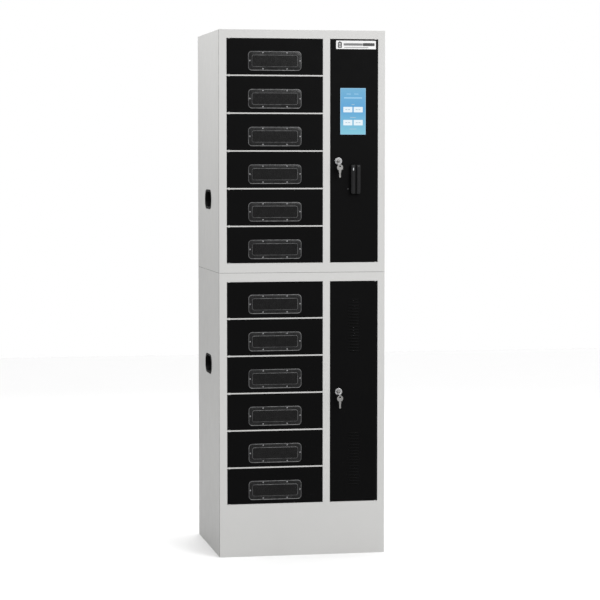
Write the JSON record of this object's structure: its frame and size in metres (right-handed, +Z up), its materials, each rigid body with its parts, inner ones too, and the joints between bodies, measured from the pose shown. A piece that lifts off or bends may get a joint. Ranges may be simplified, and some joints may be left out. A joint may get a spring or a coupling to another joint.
{
  "type": "phone charging kiosk",
  "caption": "Free-standing charging kiosk: two stacked steel cabinets with windowed bay doors, tall service doors, touchscreen, card reader and key locks.",
  "frame": {"origin": "middle of the underside of the base, on the floor", "axes": "+Z up, the front with the doors faces -Y, +X to the right seen from the front"},
  "size_m": [0.612, 0.5604, 1.9],
  "materials": {
    "grey_coat": "light grey powder coat",
    "black_coat": "satin black powder coat",
    "inner_steel": "galvanised sheet",
    "window": "smoked clear sheet",
    "black_plastic": "moulded black plastic",
    "screen": "lit display behind glass",
    "chrome": "polished chrome",
    "nickel": "nickel plate"
  },
  "bodies": {
    "cabinet": {"base_pan": "grey_coat", "upper_top_panel": "grey_coat", "controller_box": "black_plastic", "power_inlet": "black_plastic", "lower_front_frame": "grey_coat", "lower_back_panel": "grey_coat", "lower_bay_rack": "inner_steel", "lower_latch_strip": "black_plastic", "lower_outlet_strip": "black_plastic", "lower_left_side": "grey_coat", "lower_right_side": "grey_coat", "lower_left_handle": "black_plastic", "lower_right_handle": "black_plastic", "upper_front_frame": "grey_coat", "upper_back_panel": "grey_coat", "upper_bay_rack": "inner_steel", "upper_latch_strip": "black_plastic", "upper_outlet_strip": "black_plastic", "upper_left_side": "grey_coat", "upper_right_side": "grey_coat", "upper_left_handle": "black_plastic", "upper_right_handle": "black_plastic"},
    "bay_door_01": {"bay_door_01": "black_coat", "bay_window_01": "window"},
    "bay_door_02": {"bay_door_02": "black_coat", "bay_window_02": "window"},
    "bay_door_03": {"bay_door_03": "black_coat", "bay_window_03": "window"},
    "bay_door_04": {"bay_door_04": "black_coat", "bay_window_04": "window"},
    "bay_door_05": {"bay_door_05": "black_coat", "bay_window_05": "window"},
    "bay_door_06": {"bay_door_06": "black_coat", "bay_window_06": "window"},
    "bay_door_07": {"bay_door_07": "black_coat", "bay_window_07": "window"},
    "bay_door_08": {"bay_door_08": "black_coat", "bay_window_08": "window"},
    "bay_door_09": {"bay_door_09": "black_coat", "bay_window_09": "window"},
    "bay_door_10": {"bay_door_10": "black_coat", "bay_window_10": "window"},
    "bay_door_11": {"bay_door_11": "black_coat", "bay_window_11": "window"},
    "bay_door_12": {"bay_door_12": "black_coat", "bay_window_12": "window"},
    "upper_service_door": {"upper_service_door": "black_coat", "upper_lock_housing": "chrome", "touchscreen": "screen", "card_reader": "black_plastic"},
    "upper_lock_plug": {"upper_lock_plug": "nickel", "upper_lock_cam": "nickel", "upper_key_ring": "nickel"},
    "upper_spare_key": {"upper_spare_key": "nickel"},
    "lower_service_door": {"lower_service_door": "black_coat", "lower_lock_housing": "chrome"},
    "lower_lock_plug": {"lower_lock_plug": "nickel", "lower_lock_cam": "nickel", "lower_key_ring": "nickel"},
    "lower_spare_key": {"lower_spare_key": "nickel"}
  },
  "joints": [
    {"name": "bay_door_01_hinge", "type": "hinge", "parent": "cabinet", "child": "bay_door_01", "pos_m": [-0.268, -0.255, 1.80425], "axis": [0, 0, -1], "range_deg": [0, 110]},
    {"name": "bay_door_02_hinge", "type": "hinge", "parent": "cabinet", "child": "bay_door_02", "pos_m": [-0.268, -0.255, 1.66925], "axis": [0, 0, -1], "range_deg": [0, 110]},
    {"name": "bay_door_03_hinge", "type": "hinge", "parent": "cabinet", "child": "bay_door_03", "pos_m": [-0.268, -0.255, 1.53425], "axis": [0, 0, -1], "range_deg": [0, 110]},
    {"name": "bay_door_04_hinge", "type": "hinge", "parent": "cabinet", "child": "bay_door_04", "pos_m": [-0.268, -0.255, 1.39925], "axis": [0, 0, -1], "range_deg": [0, 110]},
    {"name": "bay_door_05_hinge", "type": "hinge", "parent": "cabinet", "child": "bay_door_05", "pos_m": [-0.268, -0.255, 1.26425], "axis": [0, 0, -1], "range_deg": [0, 110]},
    {"name": "bay_door_06_hinge", "type": "hinge", "parent": "cabinet", "child": "bay_door_06", "pos_m": [-0.268, -0.255, 1.12925], "axis": [0, 0, -1], "range_deg": [0, 110]},
    {"name": "bay_door_07_hinge", "type": "hinge", "parent": "cabinet", "child": "bay_door_07", "pos_m": [-0.268, -0.255, 0.93145], "axis": [0, 0, -1], "range_deg": [0, 110]},
    {"name": "bay_door_08_hinge", "type": "hinge", "parent": "cabinet", "child": "bay_door_08", "pos_m": [-0.268, -0.255, 0.79645], "axis": [0, 0, -1], "range_deg": [0, 110]},
    {"name": "bay_door_09_hinge", "type": "hinge", "parent": "cabinet", "child": "bay_door_09", "pos_m": [-0.268, -0.255, 0.66145], "axis": [0, 0, -1], "range_deg": [0, 110]},
    {"name": "bay_door_10_hinge", "type": "hinge", "parent": "cabinet", "child": "bay_door_10", "pos_m": [-0.268, -0.255, 0.52645], "axis": [0, 0, -1], "range_deg": [0, 110]},
    {"name": "bay_door_11_hinge", "type": "hinge", "parent": "cabinet", "child": "bay_door_11", "pos_m": [-0.268, -0.255, 0.39145], "axis": [0, 0, -1], "range_deg": [0, 110]},
    {"name": "bay_door_12_hinge", "type": "hinge", "parent": "cabinet", "child": "bay_door_12", "pos_m": [-0.268, -0.255, 0.25645], "axis": [0, 0, -1], "range_deg": [0, 110]},
    {"name": "upper_service_hinge", "type": "hinge", "parent": "cabinet", "child": "upper_service_door", "pos_m": [0.27, -0.255, 1.46675], "axis": [0, 0, 1], "range_deg": [0, 110]},
    {"name": "upper_lock_turn", "type": "hinge", "parent": "upper_service_door", "child": "upper_lock_plug", "pos_m": [0.1322, -0.26, 1.4302], "axis": [0, 1, 0], "range_deg": [0, 90]},
    {"name": "upper_spare_key_swing", "type": "hinge", "parent": "upper_lock_plug", "child": "upper_spare_key", "pos_m": [0.1322, -0.2876, 1.4143], "axis": [0, 1, 0], "range_deg": [-95, 60]},
    {"name": "lower_service_hinge", "type": "hinge", "parent": "cabinet", "child": "lower_service_door", "pos_m": [0.27, -0.255, 0.59395], "axis": [0, 0, 1], "range_deg": [0, 110]},
    {"name": "lower_lock_turn", "type": "hinge", "parent": "lower_service_door", "child": "lower_lock_plug", "pos_m": [0.1334, -0.26, 0.5942], "axis": [0, 1, 0], "range_deg": [0, 90]},
    {"name": "lower_spare_key_swing", "type": "hinge", "parent": "lower_lock_plug", "child": "lower_spare_key", "pos_m": [0.1334, -0.2876, 0.5783], "axis": [0, 1, 0], "range_deg": [-95, 60]}
  ]
}
